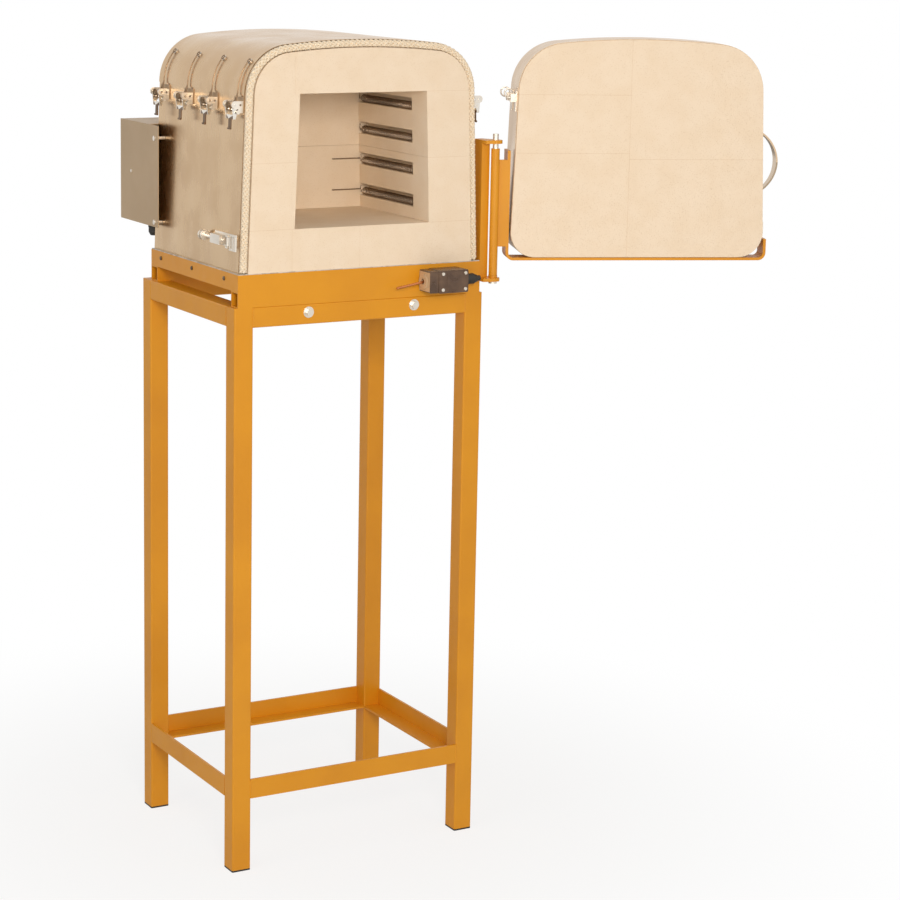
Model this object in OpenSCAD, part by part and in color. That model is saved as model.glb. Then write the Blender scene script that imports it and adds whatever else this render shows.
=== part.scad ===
/* [Kiln body] */
// Width of the kiln over its shell, at the foot
body_w = 462; // [430:1:520]
// Depth of the kiln from its front face to its back panel
body_d = 365.5; // [345:0.5:420]
// Height of the kiln from its pan to the top of the crown
body_h = 390.5; // [370:0.5:440]
// Inward lean of each side in degrees
side_lean = 2.05; // [0.5:0.05:3]
// Radius of the two upper corners of the shell
corner_r = 85; // [70:1:95]
// Radius of the shallow crown on top
crown_r = 1400; // [900:10:2200]
// Thickness of the stainless sheets
sheet_t = 1; // [0.8:0.1:1.5]
// Height of the latch hinge line above the pan
latch_up = 282.5; // [270:0.5:290]
// Overlap of the top sheet over the side sheets
sheet_lap = 20; // [12:1:26]
// Diameter of the rope seal round the front edge
rope_d = 13; // [9:0.5:15]

/* [Chamber] */
// Width of the chamber at its floor
chamber_w = 261; // [230:1:275]
// Height of the chamber
chamber_h = 228; // [215:1:235]
// Depth of the chamber
chamber_d = 255.5; // [220:0.5:262]
// Height of the floor course of bricks
floor_h = 72.5; // [60:0.5:76]
// Joint between neighbouring bricks
brick_joint = 0.4; // [0.2:0.1:1]
// Height of the lower course of the walls
wall_course_h = 113; // [90:1:125]
// Rows of heating coils on each side wall
coil_rows = 4; // [2:1:4]
// Distance between two rows of coils
row_pitch = 56.4; // [45:0.1:58]
// Height of the lowest row above the chamber floor
row_first = 32; // [16:1:36]
// Height of a coil groove
groove_h = 22; // [19:0.5:26]
// Depth of a coil groove
groove_depth = 19; // [17.5:0.5:24]
// Distance from the front face to the start of the grooves
groove_start = 55; // [40:1:80]
// Outer diameter of a heating coil
coil_d = 14.8; // [12:0.2:16]
// Diameter of the coil wire
coil_wire_d = 2; // [1.6:0.1:2.4]
// Turns drawn in one row
coil_turns = 8; // [5:1:10]

/* [Base and stand] */
// Height of the stand
stand_h = 1000; // [700:5:1100]
// Side of the square tube of the stand
tube_side = 35; // [30:1:40]
// Wall of the square tube
tube_wall = 2; // [1.5:0.5:3]
// Edge radius of the square tube
tube_r = 2.5; // [2:0.25:3.5]
// Thickness of the plate of a foot cap
cap_t = 3; // [2:0.5:6]
// Height of the lower rails above the floor
lower_rail_z = 131; // [80:1:300]
// Thickness of the angle iron
angle_t = 4; // [3:0.5:5]
// Side of the tube under the kiln, front and rear
beam_side = 27; // [25:0.5:35]
// Side of the angle iron frame under the kiln
base_angle = 29; // [25:0.5:35]
// Thickness of the pan under the bricks
pan_t = 1.5; // [1:0.5:3]
// Width that the stand adds on each side of the base
stand_margin = 6; // [0:1:15]
// Depth that the stand adds behind the base
stand_back = 25.5; // [0:0.5:60]

/* [Door] */
// Angle that the door stands open in degrees
door_angle = 158; // [0:1:165]
// Thickness of the door over its band and back sheet
door_t = 86; // [70:1:100]
// Radius of the two lower corners of the door
door_low_r = 45; // [30:1:60]
// Gap between the door and the front face when shut
door_gap = 4.5; // [3.5:0.5:8]
// Distance of the hinge pin outside the door's edge
pin_out = 28; // [26:0.5:40]
// Radius of the hinge pin
pin_r = 5; // [4:0.5:6]
// Length of the hinge tube
hinge_tube_l = 224; // [150:1:226]
// Width of the flat bar that carries the door
carrier_w = 40; // [30:1:60]
// Thickness of the flat bar that carries the door
carrier_t = 5; // [4:0.5:6]
// Length of the bow handle
handle_l = 110; // [80:1:130]
// Height of the bow handle off the door's edge
handle_out = 32; // [26:1:40]
// Width of the bow handle
handle_w = 24; // [16:1:30]
// Height of the lock and of its keeper above the pan
keeper_up = 52; // [45:1:70]

/* [Latches] */
// Latches on each side
latch_count = 4; // [2:1:4]
// Distance of the front latch from the front face
latch_front = 31.5; // [31:0.5:40]
// Distance of the rear latch from the back panel
latch_rear = 28; // [26:1:30]
// Distance of the latch hinge off the shell
latch_out = 16; // [14:0.5:20]
// Radius of the latch hinge pin
latch_pin_r = 1.95; // [1.5:0.05:2.5]
// Length of the latch lever below its hinge
latch_tail = 40; // [32:1:50]
// Angle from the shell's corner to the draw rod's hook
hook_angle = 36; // [28:1:45]

/* [Terminal box] */
// Height of the box
box_h = 182; // [120:1:220]
// Height of the box above the pan
box_up = 41.5; // [20:0.5:60]
// Depth of the box behind the back panel
box_back = 127; // [80:1:160]
// Length of the cheeks along the kiln's sides
box_cheek = 44; // [30:1:60]
// Distance of each cheek outside the kiln's foot
box_margin = 11; // [9:1:20]
// Thickness of the box sheet
box_t = 1.5; // [1:0.5:2.5]

/* [Door switch] */
// Length of the switch body
switch_l = 77; // [60:1:90]
// Height of the switch body
switch_h = 40; // [30:1:42]
// Depth of the switch body
switch_d = 39; // [30:1:44]
// Length of the switch rod
switch_rod_l = 56; // [40:1:80]
// Droop of the switch rod in degrees
switch_rod_droop = 9; // [0:1:15]

/* [Hidden] */
$fn = 64;
half_w = body_w / 2;
base_w = body_w + 10;
stand_w = base_w + 2 * stand_margin;
stand_d = body_d + stand_back;
front_y = -stand_d / 2;
rear_y = front_y + body_d;
angle_z = stand_h + beam_side;
base_top_z = angle_z + base_angle;
brick_z = base_top_z + pan_t;
top_z = brick_z + body_h;
floor_z = brick_z + floor_h;
roof_z = floor_z + chamber_h;
course_z = floor_z + wall_course_h;
chamber_rear_y = front_y + chamber_d;
far = 3 * body_w;
// Clear gap between sheets that lie on each other
lay = 0.1;
side_inset = sheet_t + lay;
brick_inset = side_inset + sheet_t + lay;
rope_edge = 0.4;
rope_inset = rope_edge + rope_d / 2;
rim_inset = rope_edge + rope_d + 0.6;
// Length of brick that the rope covers behind the front face
rim_d = rope_d - 1;
rope_y = front_y + rim_d - rope_d / 2 - 0.2;
shell_y = front_y + rim_d;
back_y = rear_y - sheet_t - lay;
// Vertical joints of the floor course and of the roof
floor_joint_1 = -135;
floor_joint_2 = -5;
roof_joint = -half_w + 100;

// Corner geometry of the arch, measured in the plane of the front face
side_n = [cos(side_lean), sin(side_lean)];
side_u = [-sin(side_lean), cos(side_lean)];
foot_p = [half_w, brick_z];
crown_c = [0, top_z - crown_r];
corner_p0 = foot_p - corner_r * side_n;
corner_w = corner_p0 - crown_c;
corner_b = corner_w * side_u;
corner_s = -corner_b + sqrt(corner_b * corner_b - corner_w * corner_w + pow(crown_r - corner_r, 2));
corner_c = corner_p0 + corner_s * side_u;
top_dir = (corner_c - crown_c) / norm(corner_c - crown_c);
top_angle = atan2(top_dir.y, top_dir.x);

function side_x(z, inset = 0) = half_w - inset / cos(side_lean) - (z - brick_z) * tan(side_lean);
function chamber_x(z) = chamber_w / 2 - (z - floor_z) * tan(side_lean);
function row_z(i) = floor_z + row_first + i * row_pitch;
function latch_y(i) = front_y + latch_front + (i - 1) * (body_d - latch_front - latch_rear) / (latch_count - 1);

yellow = [0.83, 0.57, 0.18];
steel = [0.77, 0.69, 0.57];
bright = [0.85, 0.84, 0.82];
brick = [0.95, 0.86, 0.74];

// Extrudes a drawing of the X-Z plane from y0 to y1
module along_y(y0, y1) {
    translate([0, y1, 0]) rotate([90, 0, 0]) linear_extrude(y1 - y0) children();
}

// Round bar from one point to another
module bar(a, b, r) {
    d = b - a;
    translate(a) rotate([0, acos(d.z / norm(d)), atan2(d.y, d.x)]) cylinder(r = r, h = norm(d));
}

// Rectangle with round corners, centred
module round_rect(w, h, r) {
    square([w - 2 * r, h], center = true);
    square([w, h - 2 * r], center = true);
    for (x = [-1, 1], y = [-1, 1]) translate([x * (w / 2 - r), y * (h / 2 - r)]) circle(r, $fn = 32);
}

// Outline of the kiln from the front, drawn in by an inset
module arch(inset, low_z) {
    low_x = side_x(low_z, inset);
    side_p = corner_c + (corner_r - inset) * side_n;
    top_p = corner_c + (corner_r - inset) * top_dir;
    polygon([[low_x, low_z], side_p, top_p, [-top_p.x, top_p.y], [-side_p.x, side_p.y], [-low_x, low_z]]);
    for (s = [-1, 1]) translate([s * corner_c.x, corner_c.y]) circle(corner_r - inset, $fn = 180);
    intersection() {
        translate(crown_c) circle(crown_r - inset, $fn = 1080);
        translate([-top_p.x, top_p.y - 1]) square([2 * top_p.x, body_h]);
    }
}

module square_tube(length) {
    linear_extrude(length) difference() {
        round_rect(tube_side, tube_side, tube_r);
        square(tube_side - 2 * tube_wall, center = true);
    }
}

leg_x = stand_w / 2 - tube_side / 2;
leg_y = stand_d / 2 - tube_side / 2;

module leg(x, y) {
    color(yellow) translate([x * leg_x, y * leg_y, 0]) {
        translate([0, 0, cap_t]) square_tube(stand_h - cap_t - tube_wall);
        translate([0, 0, stand_h - tube_wall]) linear_extrude(tube_wall) round_rect(tube_side, tube_side, tube_r);
    }
}

module foot_caps() {
    plug = tube_side - 2 * tube_wall - 0.2;
    color([0.1, 0.1, 0.1]) for (x = [-1, 1], y = [-1, 1]) translate([x * leg_x, y * leg_y, 0]) {
        linear_extrude(cap_t) round_rect(tube_side, tube_side, tube_r);
        translate([0, 0, cap_t]) linear_extrude(12) difference() {
            square(plug, center = true);
            square(plug - 5, center = true);
        }
    }
}

module top_rails() {
    z = stand_h - tube_side / 2;
    color(yellow) for (s = [-1, 1]) {
        translate([-leg_x + tube_side / 2, s * leg_y, z]) rotate([0, 90, 0]) square_tube(stand_w - 2 * tube_side);
        translate([s * leg_x, -leg_y + tube_side / 2, z]) rotate([-90, 0, 0]) square_tube(stand_d - 2 * tube_side);
    }
}

// Section of an angle iron whose corner lies low and outside
module angle_section(side, t) {
    polygon([[0, 0], [side, 0], [side, t], [t, t], [t, side], [0, side]]);
}

module lower_rails() {
    x_span = stand_w - 2 * tube_side;
    y_span = stand_d - 2 * tube_side;
    color(yellow) translate([0, 0, lower_rail_z]) for (s = [0, 180]) rotate(s) {
        translate([-x_span / 2, -stand_d / 2, 0]) rotate([90, 0, 90]) linear_extrude(x_span)
            angle_section(tube_side, angle_t);
        translate([-stand_w / 2, y_span / 2, 0]) rotate([90, 0, 0]) linear_extrude(y_span)
            angle_section(tube_side, angle_t);
    }
}

bolt_x = 103;
bolt_z = stand_h - 14;
base_screw_y = [126, -8, -141];

// Washer and hexagon head that stand on a face, pointing up
module hex_bolt(r, head_h) {
    cylinder(r = 1.5 * r, h = 1.6);
    translate([0, 0, 1.6]) cylinder(r = r, h = head_h, $fn = 6);
}

module frame_screws() {
    color(bright) for (x = [-1, 1]) translate([x * bolt_x, -stand_d / 2, bolt_z]) rotate([90, 0, 0]) hex_bolt(6.5, 5.5);
    color([0.3, 0.25, 0.2]) for (s = [-1, 1], y = base_screw_y)
        translate([s * base_w / 2, y, angle_z + 0.6 * base_angle]) rotate([0, s * 90, 0]) {
            cylinder(r = 3.6, h = 1.2);
            translate([0, 0, 1.2]) cylinder(r1 = 3.6, r2 = 2, h = 1.2);
        }
}

module cross_beams() {
    color(yellow) for (y = [front_y, rear_y - beam_side])
        translate([-base_w / 2, y + beam_side / 2, stand_h + beam_side / 2]) rotate([0, 90, 0])
            linear_extrude(base_w) difference() {
                square(beam_side, center = true);
                square(beam_side - 2 * tube_wall, center = true);
            }
}

module base_frame() {
    color(yellow) translate([-base_w / 2, front_y, angle_z]) difference() {
        cube([base_w, body_d, base_angle]);
        translate([angle_t - 1, angle_t - 1, -1])
            cube([base_w - 2 * angle_t + 2, body_d - 2 * angle_t + 2, base_angle + 1 - angle_t + 1]);
        translate([base_angle, base_angle, 0])
            cube([base_w - 2 * base_angle, body_d - 2 * base_angle, 2 * base_angle]);
    }
}

module floor_pan() {
    color([0.75, 0.73, 0.7]) translate([-base_w / 2 + 1, front_y + 0.5, base_top_z])
        cube([base_w - 2, body_d - 1, pan_t]);
}

// All the brickwork as one block, stepped in behind the rope
module brick_block() {
    along_y(front_y, shell_y + 1) arch(rim_inset, brick_z);
    along_y(shell_y, back_y - 0.2) arch(brick_inset, brick_z);
}

// The part of the brickwork inside a box given by two corners
module brick_part(low, high) {
    intersection() {
        brick_block();
        translate(low) cube(high - low);
    }
}

module floor_bricks() {
    xs = [-far, floor_joint_1, floor_joint_2, far];
    color(brick) for (i = [0:2])
        brick_part([xs[i] + brick_joint / 2, -far, 0], [xs[i + 1] - brick_joint / 2, far, floor_z - brick_joint]);
}

groove_r = groove_h / 2;
coil_r = coil_d / 2 - coil_wire_d / 2;
coil_in = groove_depth - groove_r;

// The coil grooves of the right wall
module grooves() {
    for (i = [0:coil_rows - 1]) {
        x = chamber_x(row_z(i));
        along_y(front_y + groove_start, chamber_rear_y + 1) {
            translate([x + coil_in, row_z(i)]) circle(groove_r);
            translate([x - 5, row_z(i) - groove_r]) square([coil_in + 5, groove_h]);
        }
    }
}

// Front outline of one course of the right wall
module wall_course(z0, z1) {
    polygon([[chamber_x(z0), z0], [far, z0], [far, z1], [chamber_x(z1), z1]]);
}

module wall_bricks(top) {
    difference() {
        intersection() {
            brick_block();
            along_y(-far, chamber_rear_y - brick_joint) {
                wall_course(floor_z, course_z - brick_joint);
                wall_course(course_z, roof_z - brick_joint);
                if (top) polygon([
                    [chamber_x(roof_z), roof_z - 1],
                    [chamber_x(roof_z), roof_z],
                    [-roof_joint, roof_z],
                    [-roof_joint, top_z + 1],
                    [far, top_z + 1],
                    [far, roof_z - 1]
                ]);
            }
        }
        grooves();
    }
}

module left_wall_bricks() {
    color(brick) mirror([1, 0, 0]) wall_bricks(true);
}

module right_wall_bricks() {
    color(brick) wall_bricks(false);
}

module roof_bricks() {
    color(brick) brick_part([roof_joint + brick_joint, -far, roof_z], [far, chamber_rear_y - brick_joint, far + top_z]);
}

lead_rows = [0, 1];
lead_x = 73;
lead_r = 1.1;
probe_x = -60;
probe_z = roof_z - 60;
probe_r = 4;
probe_out = 22;

module rear_wall_bricks() {
    color(brick) difference() {
        union() {
            brick_part([-far, chamber_rear_y, floor_z], [far, far, course_z - brick_joint]);
            brick_part([-far, chamber_rear_y, course_z], [far, far, far + top_z]);
        }
        rear_holes();
    }
}

// Holes for the coil leads and the thermocouple
module rear_holes() {
    along_y(chamber_rear_y - 1, rear_y + 1) {
        for (s = [-1, 1], i = lead_rows) translate([s * lead_x, row_z(i)]) circle(lead_r + 0.3, $fn = 24);
        translate([probe_x, probe_z]) circle(probe_r + 0.1, $fn = 48);
    }
}

module side_sheet(side) {
    x0 = side > 0 ? 0 : -far;
    color(steel) along_y(shell_y, rear_y) intersection() {
        difference() {
            arch(side_inset, brick_z);
            arch(side_inset + sheet_t, brick_z - 1);
        }
        translate([x0, 0]) square([far, lap_z + sheet_lap]);
    }
}

latch_z = brick_z + latch_up;
lap_z = latch_z + 16;

module top_sheet() {
    color(steel) along_y(shell_y, rear_y) intersection() {
        difference() {
            arch(0, brick_z);
            arch(sheet_t, brick_z - 1);
        }
        translate([-far, lap_z]) square([2 * far, far]);
    }
}

module back_panel() {
    color(steel) difference() {
        along_y(back_y, rear_y - lay) arch(brick_inset, brick_z);
        rear_holes();
    }
}

// Bent round bar of an arc in the X-Z plane
module arc_bar(centre, radius, a0, a1, r) {
    translate([centre.x, 0, centre.y]) rotate([90, 0, 0]) rotate([0, 0, a0])
        rotate_extrude(angle = a1 - a0, $fn = 240) translate([radius, 0]) circle(r, $fn = 24);
}

// Faces of a tube made of n rings of m points
function tube_faces(n, m) = concat(
    [[for (j = [0:m - 1]) j]],
    [for (i = [0:n - 2], j = [0:m - 1]) [m * i + j, m * i + m + j, m * i + (j + 1) % m]],
    [for (i = [0:n - 2], j = [0:m - 1]) [m * i + (j + 1) % m, m * i + m + j, m * i + m + (j + 1) % m]],
    [[for (j = [m - 1:-1:0]) m * (n - 1) + j]]
);

// Points and outward directions along an arc of the arch
function arc_line(centre, radius, a0, a1, n, first) = [
    for (k = [first:n]) let (a = a0 + (a1 - a0) * k / n) [centre + radius * [cos(a), sin(a)], [cos(a), sin(a)]]
];

module rope_seal() {
    rope_r = rope_d / 2;
    rope_sides = 16;
    right = concat(
        [[[side_x(brick_z + 1, rope_inset), brick_z + 1], side_n]],
        arc_line(corner_c, corner_r - rope_inset, side_lean, top_angle, 12, 0),
        arc_line(crown_c, crown_r - rope_inset, top_angle, 90, 8, 1)
    );
    last = len(right) - 2;
    line = concat(right, [for (k = [last:-1:0]) [for (v = right[k]) [-v.x, v.y]]]);
    points = [for (p = line, j = [0:rope_sides - 1]) let (a = 360 * j / rope_sides) [
        p[0].x + rope_r * cos(a) * p[1].x,
        rope_y + rope_r * sin(a),
        p[0].y + rope_r * cos(a) * p[1].y
    ]];
    color([0.93, 0.91, 0.86]) polyhedron(points, tube_faces(len(line), rope_sides));
}

// Centre of the coil in row i, low in its groove
function coil_c(i) = [chamber_x(row_z(i)) + coil_in, row_z(i) - (groove_r - coil_d / 2) + 0.3];

coil_y0 = front_y + groove_start + 6;
coil_y1 = chamber_rear_y - 6;
coil_steps = 8 * coil_turns;
coil_pitch = (coil_y1 - coil_y0) / coil_turns;
// Least distance between the surfaces of two turns, measured on their points
coil_points = [for (k = [0:coil_steps]) [
    coil_r * cos(45 * k),
    coil_pitch * k / 8,
    coil_r * sin(45 * k)
]];
coil_gap = min([for (a = [0:coil_steps], b = [0:coil_steps]) if (b > a + 5) norm(coil_points[a] - coil_points[b])])
    - coil_wire_d;
echo(coil_gap = coil_gap);

// Six points round the wire at step k, in the coil's own frame
function wire_ring(k, shift) = let (
    a = 45 * k,
    out = [cos(a), 0, sin(a)],
    run = [-coil_r * sin(a), coil_pitch / 360 * 180 / PI, coil_r * cos(a)],
    dir = run / norm(run),
    up = cross(dir, out),
    c = [coil_r * cos(a), coil_pitch * k / 8, coil_r * sin(a)] + shift * dir
) [for (j = [0:5]) c + coil_wire_d / 2 * (cos(60 * j) * out + sin(60 * j) * up)];

module coil() {
    rings = concat(
        [wire_ring(0, -coil_wire_d)],
        [for (k = [0:coil_steps]) wire_ring(k, 0)],
        [wire_ring(coil_steps, coil_wire_d)]
    );
    points = [for (ring = rings, p = ring) p];
    polyhedron(points, tube_faces(len(rings), 6));
}

module heating_coils() {
    color([0.45, 0.42, 0.4]) for (s = [-1, 1], i = [0:coil_rows - 1])
        translate([s * coil_c(i).x, coil_y0, coil_c(i).y]) coil();
}

module coil_leads() {
    y = chamber_rear_y - lead_r - 0.3;
    color([0.45, 0.42, 0.4]) for (s = [-1, 1], i = lead_rows) {
        x1 = chamber_x(row_z(i)) + coil_in - coil_r;
        z = row_z(i);
        bar([s * lead_x, y, z], [s * x1, y, z], lead_r);
        bar([s * lead_x, y, z], [s * lead_x, rear_y + 6, z], lead_r);
        translate([s * lead_x, y, z]) sphere(lead_r, $fn = 24);
    }
}

module thermocouple() {
    color([0.9, 0.88, 0.84]) translate([probe_x, 0, probe_z]) rotate([-90, 0, 0]) {
        translate([0, 0, chamber_rear_y - probe_out]) {
            cylinder(r = probe_r, h = rear_y - chamber_rear_y + probe_out + 4);
            sphere(probe_r, $fn = 32);
        }
        translate([0, 0, rear_y + 0.2]) cylinder(r = 12, h = 18);
    }
}

box_z = brick_z + box_up;
box_hw = half_w + box_margin;
block_w = 200;

module terminal_block() {
    z0 = row_z(0) - 12;
    h = row_pitch + 24;
    color([0.9, 0.9, 0.88]) difference() {
        translate([-block_w / 2, rear_y + 0.1, z0]) cube([block_w, 16, h]);
        along_y(rear_y - 1, rear_y + 20) for (s = [-1, 1], i = lead_rows)
            translate([s * lead_x, row_z(i)]) circle(lead_r + 0.1, $fn = 24);
        translate([-block_w / 2 + 12, rear_y + 10, z0 + 10]) cube([block_w - 24, 20, h - 20]);
    }
}

module terminal_box() {
    w = 2 * box_hw;
    y0 = rear_y - box_cheek;
    d = box_cheek + box_back;
    color([0.69, 0.62, 0.5]) translate([-box_hw, y0, box_z]) difference() {
        cube([w, d, box_h]);
        translate([box_t, -1, box_t]) cube([w - 2 * box_t, d - box_t + 1, box_h - 2 * box_t]);
        translate([box_t, -1, -1]) cube([w - 2 * box_t, box_cheek + 1.4, box_h + 2]);
        translate([gland_x, box_cheek + gland_back, -1]) cylinder(r = gland_r, h = 6);
    }
}

fixing_y = rear_y - box_cheek + 14;
fixing_zs = [box_z + 9, box_z + box_h - 23];
cover_screw_y = rear_y + 0.6 * box_back;

module box_fixings() {
    color(bright) for (s = [-1, 1]) {
        for (z = fixing_zs) {
            x0 = side_x(z, side_inset) + 0.25;
            bar([s * x0, fixing_y, z], [s * (box_hw - box_t), fixing_y, z], 3);
            bar([s * box_hw, fixing_y, z], [s * (box_hw + 2.5), fixing_y, z], 4.5);
        }
        bar([s * box_hw, cover_screw_y, box_z + box_h / 2], [s * (box_hw + 1.5), cover_screw_y, box_z + box_h / 2], 3);
    }
}

gland_x = 20;
gland_back = 19;
gland_r = 8;
gland_bore_r = 4;

// Cable gland whose thread stands up and whose dome points down
module gland() {
    difference() {
        union() {
            cylinder(r = gland_r - 0.1, h = 8);
            translate([0, 0, -6]) cylinder(r = 12, h = 6, $fn = 6);
            translate([0, 0, -15]) cylinder(r = 10.5, h = 9);
            translate([0, 0, -21]) cylinder(r1 = 7, r2 = 10.5, h = 6);
        }
        translate([0, 0, -40]) cylinder(r = gland_bore_r, h = 60);
    }
}

switch_x1 = base_w / 2 - 46;
switch_x0 = switch_x1 - switch_l;
switch_z = stand_h + 9;
switch_mid = [switch_z + switch_h / 2, front_y - switch_d / 2];

module cable_glands() {
    color([0.2, 0.18, 0.16]) translate([-box_hw + gland_x, rear_y + gland_back, box_z]) gland();
    color([0.2, 0.16, 0.13]) translate([switch_x1, switch_mid.y, switch_mid.x]) rotate([0, 90, 0]) difference() {
        union() {
            cylinder(r = 12, h = 8, $fn = 8);
            translate([0, 0, 8]) cylinder(r = 9.5, h = 12);
            translate([0, 0, 20]) cylinder(r1 = 9.5, r2 = 6, h = 8);
            translate([0, 0, 28]) cylinder(r = 5, h = 6);
        }
        translate([0, 0, 3]) cylinder(r = 3, h = 50);
    }
}

root_r = 4;
root_w = 6;
socket_r = norm([root_r, root_w / 2]) + 0.3;
socket_end = switch_x0 + 2 + root_r + 0.3;

module switch_body() {
    color([0.3, 0.22, 0.17]) difference() {
        union() {
            along_y(front_y - switch_d, front_y) translate([(switch_x0 + 18 + switch_x1) / 2, switch_mid.x])
                round_rect(switch_x1 - switch_x0 - 18, switch_h, 3);
            along_y(front_y - switch_d + 1, front_y - 1) translate([switch_x0 + 10, switch_mid.x])
                round_rect(20, switch_h - 2, 3);
            translate([switch_x0, switch_mid.y, switch_mid.x]) rotate([0, -90, 0]) cylinder(r = 13, h = 4);
        }
        translate([switch_x0 - 5, switch_mid.y, switch_mid.x]) rotate([0, 90, 0])
            cylinder(r = socket_r, h = socket_end - switch_x0 + 5);
    }
    color(bright) for (x = [switch_x0 + 26, switch_x1 - 6], z = [-1, 1])
        translate([x, front_y - switch_d, switch_mid.x + z * (switch_h / 2 - 6)]) rotate([90, 0, 0])
            cylinder(r = 3, h = 1.2);
}

rod_root = [switch_x0 + 2, switch_mid.y, switch_mid.x];

module switch_rod() {
    color([0.72, 0.42, 0.25]) translate(rod_root) {
        rotate([90, 0, 0]) cylinder(r = root_r, h = root_w, center = true);
        rotate([0, -90 - switch_rod_droop, 0]) cylinder(r = 2.2, h = switch_rod_l);
        rotate([0, -90 - switch_rod_droop, 0]) translate([0, 0, switch_rod_l]) sphere(2.2, $fn = 24);
    }
}

pin_x = half_w + pin_out;
door_face_y = front_y - door_gap;
pin_y = door_face_y - 2;
post_w = 16;
post_d = 30;
post_z0 = stand_h + 20;
post_z1 = base_top_z + 214;
ear_t = 6;
ear_r = pin_r + 7;
post_x = base_w / 2 + 0.2;
tube_z1 = post_z1 - ear_t - 9;
tube_z0 = tube_z1 - hinge_tube_l;
collar_z = post_z0 + ear_t;

// Plate that reaches from the post to the pin
module ear(z) {
    translate([0, 0, z]) linear_extrude(ear_t) difference() {
        union() {
            translate([pin_x, pin_y]) circle(ear_r);
            polygon([
                [post_x, front_y + post_d],
                [post_x, pin_y - ear_r / 2],
                [pin_x, pin_y - ear_r],
                [pin_x + ear_r, pin_y],
                [post_x + post_w, front_y + post_d]
            ]);
        }
        translate([pin_x, pin_y]) circle(pin_r + 0.02);
    }
}

module hinge_post() {
    color(yellow) {
        translate([post_x, front_y + 1.5, post_z0 + ear_t]) linear_extrude(post_z1 - post_z0 - 2 * ear_t) difference() {
            square([post_w, post_d]);
            translate([angle_t, angle_t]) square([post_w, post_d - 2 * angle_t]);
        }
        ear(post_z0);
        ear(post_z1 - ear_t);
        translate([0, 0, collar_z]) linear_extrude(tube_z0 - 0.3 - collar_z) translate([pin_x, pin_y]) difference() {
            circle(pin_r + 3);
            circle(pin_r + 0.02);
        }
    }
}

module hinge_pin() {
    color(bright) translate([pin_x, pin_y, post_z0 - 4]) {
        cylinder(r = pin_r, h = post_z1 - post_z0 + 15);
        cylinder(r = pin_r + 2.5, h = 3.8);
    }
}

// Turns the door from shut to the angle at which it stands
module door_pose() {
    translate([pin_x, pin_y, 0]) rotate([0, 0, door_angle]) translate([-pin_x, -pin_y, 0]) children();
}

door_z0 = base_top_z + carrier_t + 0.7;
door_back_y = door_face_y - door_t;
door_low_s = (door_z0 + door_low_r - brick_z + door_low_r * sin(side_lean)) / cos(side_lean);
door_low_c = foot_p - door_low_r * side_n + door_low_s * side_u;

// Outline of the door, like the kiln's with round lower corners
module door_outline(inset) {
    intersection() {
        arch(inset, door_z0 + inset);
        union() {
            translate([-far, door_low_c.y]) square([2 * far, far]);
            translate([-door_low_c.x, 0]) square([2 * door_low_c.x, far]);
            for (s = [-1, 1]) translate([s * door_low_c.x, door_low_c.y]) circle(door_low_r - inset, $fn = 180);
        }
    }
}

band_t = 0.8;

module door_bricks() {
    split_x = 19;
    right_z = course_z + 4;
    left_z = roof_z - 8;
    low_z = course_z - 6;
    cut = brick_joint / 2;
    color(brick) door_pose() difference() {
        along_y(door_back_y + sheet_t + lay, door_face_y) door_outline(band_t + lay);
        along_y(door_face_y - 40, door_face_y + 1) {
            translate([split_x - cut, 0]) square([brick_joint, far + top_z]);
            translate([-far, low_z]) square([far + split_x, brick_joint]);
            translate([split_x, left_z]) square([far, brick_joint]);
            translate([split_x, right_z]) square([far, brick_joint]);
        }
    }
}

module door_band() {
    color(steel) door_pose() along_y(door_back_y, door_face_y - 3) difference() {
        door_outline(0);
        door_outline(band_t);
    }
}

module door_back() {
    color(steel) door_pose() along_y(door_back_y, door_back_y + sheet_t) door_outline(band_t + lay);
}

carrier_x = half_w + 0.5;
carrier_y = door_face_y - 4;
carrier_top = tube_z1 - 4;
carrier_free_top = brick_z + keeper_up - 15;
bend_r = 14;

module door_carrier() {
    out = carrier_x + carrier_t;
    low = door_z0 - 0.5 - carrier_t;
    color(yellow) door_pose() difference() {
        union() {
            along_y(carrier_y - carrier_w, carrier_y) difference() {
                union() {
                    translate([-out, low + bend_r]) square([2 * out, carrier_top - low - bend_r]);
                    translate([-out + bend_r, low]) square([2 * out - 2 * bend_r, bend_r]);
                    for (s = [-1, 1]) translate([s * (out - bend_r), low + bend_r]) circle(bend_r);
                }
                translate([-carrier_x, low + bend_r]) square([2 * carrier_x, far]);
                translate([-carrier_x + bend_r - carrier_t, low + carrier_t])
                    square([2 * (carrier_x - bend_r + carrier_t), bend_r]);
                for (s = [-1, 1]) translate([s * (out - bend_r), low + bend_r]) circle(bend_r - carrier_t);
                translate([-far, carrier_free_top]) square([far, far]);
            }
            translate([pin_x, pin_y, tube_z0]) cylinder(r = pin_r + 2.6, h = hinge_tube_l);
            translate([out - 0.5, pin_y - 7, tube_z0 + 50]) cube([pin_x - out + 0.5, 5, hinge_tube_l - 70]);
        }
        translate([pin_x, pin_y, tube_z0 - 1]) cylinder(r = pin_r + 0.05, h = hinge_tube_l + 2);
    }
}

handle_z = base_top_z + 174;

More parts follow.
